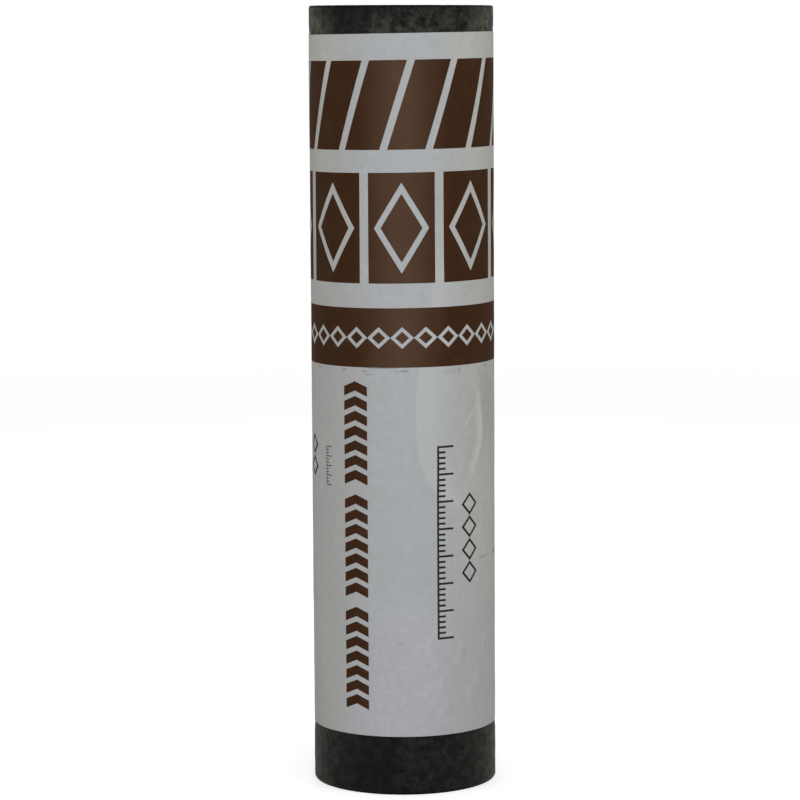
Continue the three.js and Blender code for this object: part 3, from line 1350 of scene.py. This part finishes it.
        around, add_grid = fit_into(across), self.skin.add_grid
        add_grid(outer, plane_map(across, up), plane_map(around, fit_into(up, self.bake_outside)))
        inside = plane_map(around, fit_into(inner_up, self.bake_inside))
        add_grid(inner, plane_map(across, 0 * inner_up + BLANK), inside, flip=True)
        for edge, rows in zip((-1, 0), self.bake_rims):
            self.add_rim(outer[:, edge], inner[:, edge], around, rows, flip=edge == 0)
        step = np.stack([outer[0], outer[-1]], axis=1)
        seam = plane_map(fit_into(up)[:, None], np.array(self.bake_seam))
        add_grid(step, plane_map(0 * step, np.array(BLANK)), seam)
        return self.skin.build("paper_wrapper_printed", **marks)


# ---------------------------------------- The studio ----------------------------------------


@dataclass(frozen=True)
class Lamp:
    """A square soft light."""

    name: str
    place: tuple[float, float, float]
    size: float
    watts: float
    tint: Colour = (1.0, 1.0, 1.0)

    def build(self, target: Vector) -> None:
        """Makes the light.

        Args:
            target: The point that it faces.
        """
        light = bpy.data.lights.new(self.name, "AREA")
        light.shape = "SQUARE"
        light.size, light.energy, light.color = self.size, self.watts, self.tint
        made = put(light)
        made.location = self.place
        made.rotation_euler = (target - made.location).to_track_quat("-Z", "Y").to_euler()


def seen_directly(tree: bpy.types.NodeTree) -> Signal:
    """A mask that is 1 for what the camera sees straight, in gloss or through glass."""
    straight = add_node(tree, "LightPath", "Is Camera Ray", {})
    return straight | straight.sibling("Is Glossy Ray") | straight.sibling("Is Transmission Ray")


@dataclass
class Studio:
    """A pale floor, a white surround, four soft lights and the camera."""

    target: Vector  # the point that the lights face
    lamps: tuple[Lamp, ...] = (
        Lamp("front", (0.2, -3.2, 1.4), 1.8, 37.8),
        Lamp("left", (-2.0, -1.16, 2.09), 1.2, 12.6, (1.0, 0.95, 0.87)),
        Lamp("right", (2.0, -1.21, 2.16), 1.2, 15.2, (1.0, 0.95, 0.87)),
        Lamp("back", (0.0, 3.1, 2.0), 1.2, 24.0),
    )
    surround: float = 0.385  # strength of the even light from all round
    floor_colour: Colour = (0.8, 0.8, 0.8)
    floor_glow: float = 0.52  # only for the view
    floor_fade: Pair = (1.2, 5.0)  # how far out the floor begins to turn white, and is white
    floor_reach: Pair = (0.05, 30.0)  # its innermost and outermost ring
    floor_grid: tuple[int, int] = (24, 96)  # rings and spokes
    camera_distance: float = 3763.3 * MM
    camera_height: float = 887.0 * MM
    camera_sight: float = 100.0  # how far it sees
    pitch: float = math.radians(6.610)  # how far the camera looks down
    roll: float = math.radians(0.337)  # how far it leans, so that the roll's top leans left
    focal_pixels: float = 3204.6
    picture_pixels: int = 800
    aside_pixels: float = 3.15  # how far right of the picture's middle the roll's middle line lies

    def build(self) -> None:
        """Makes the floor, the surround, the lights and the camera."""
        self.make_floor()
        self.make_surround()
        for lamp in self.lamps:
            lamp.build(self.target)
        self.make_camera()
        bpy.context.scene.view_settings.view_transform = "Standard"

    def make_floor(self) -> None:
        """Makes a round floor, rings by spokes, that keeps the roll's shadow and fades to white."""
        rings, spokes = self.floor_grid
        reach = np.geomspace(*self.floor_reach, rings)[:, None]
        angle = np.linspace(0, TURN, spokes, endpoint=False)
        ring = np.stack([reach * np.cos(angle), reach * np.sin(angle), 0 * reach * angle], axis=-1)
        numbers = np.arange(rings * spokes).reshape(rings, spokes)
        wrapped = np.column_stack([numbers, numbers[:, :1]])
        mesh = bpy.data.meshes.new("floor")
        mesh.from_pydata(ring.reshape(-1, 3).tolist(), [], corners(wrapped).tolist() + [numbers[0].tolist()])
        mesh.materials.append(self.floor_material())
        put(mesh)

    def floor_material(self) -> bpy.types.Material:
        """Builds the floor's material: pale and dull, with a little glow that only the view sees.

        Returns:
            The material.
        """
        finish = Finish("pale_floor")
        tree, seen = finish.tree, seen_directly(finish.tree)
        dull = {"Base Color": (*self.floor_colour, 1), "Roughness": 1.0, "Specular IOR Level": 0.0}
        feed(finish.shader, dull)
        pale = Signal(tree, finish.shader.outputs["BSDF"])
        glow = add_node(tree, "Emission", "Emission", {"Strength": seen * self.floor_glow})
        lit = add_node(tree, "AddShader", "Shader", {0: pale, 1: glow})
        white = add_node(tree, "Emission", "Emission", {})
        far = add_node(tree, "VectorMath", "Value", {0: finish.place()}, operation="LENGTH")
        fade = far.spread(*self.floor_fade) * seen
        surface = add_node(tree, "MixShader", "Shader", {"Fac": fade, 1: lit, 2: white})
        feed(tree.nodes["Material Output"], {"Surface": surface})
        return finish.material

    def make_surround(self) -> None:
        """Makes an even white surround that looks white and lights the roll more softly."""
        world = bpy.data.worlds.new("surround")
        world.use_nodes = True
        strength = seen_directly(world.node_tree).between(self.surround, 1.0)
        feed(world.node_tree.nodes["Background"], {"Color": (1, 1, 1, 1), "Strength": strength})
        bpy.context.scene.world = world

    def make_camera(self) -> None:
        """Makes the camera: straight in front, looking slightly down, leaned by its roll."""
        lens = bpy.data.cameras.new("camera")
        lens.lens = self.focal_pixels / self.picture_pixels * lens.sensor_width
        lens.clip_end = self.camera_sight
        turn = Matrix.Rotation(math.atan(self.aside_pixels / self.focal_pixels), 4, "Z")
        look = Matrix.Rotation(math.pi / 2 - self.pitch, 4, "X")
        lean = Matrix.Rotation(-self.roll, 4, "Z")
        stand = Matrix.Translation((0, -self.camera_distance, self.camera_height))
        camera = put(lens)
        camera.matrix_world = stand @ turn @ look @ lean
        bpy.context.scene.camera = camera


def settle(piece: bpy.types.Object, node: str, material: bpy.types.Material) -> None:
    """Gives a piece its material and ties it to the CAD node that it stands for.

    Args:
        piece: The finished piece.
        node: The CAD node that it replaces.
        material: Its material.
    """
    piece.data.materials.append(material)
    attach(piece, BODY)
    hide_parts(node)
    log.info("%s: %d vertices, %d faces", piece.name, len(piece.data.vertices), len(piece.data.polygons))


def main() -> None:
    """Builds the roll, its wrapper and the studio."""
    logging.basicConfig(level=logging.INFO, format="%(name)s: %(message)s")
    felt_low, felt_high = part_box("felt_roll")
    paper_low, paper_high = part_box("paper_wrapper")
    winding = Winding(height=felt_high.z - felt_low.z)
    felt = FeltRoll(winding, bare_below=paper_low.z, bare_above=paper_high.z)
    felt_finish = FeltFinish(winding.height, winding.thickness, winding.covered_length)
    settle(felt.build(), "felt_roll", felt_finish.make())
    wrapper = PaperWrapper(winding, base=paper_low.z, width=paper_high.z - paper_low.z)
    settle(wrapper.build(), "paper_wrapper", PaperFinish(wrapper.shown).make())
    Studio(target=(felt_low + felt_high) / 2).build()


if __name__ == "__main__":
    main()
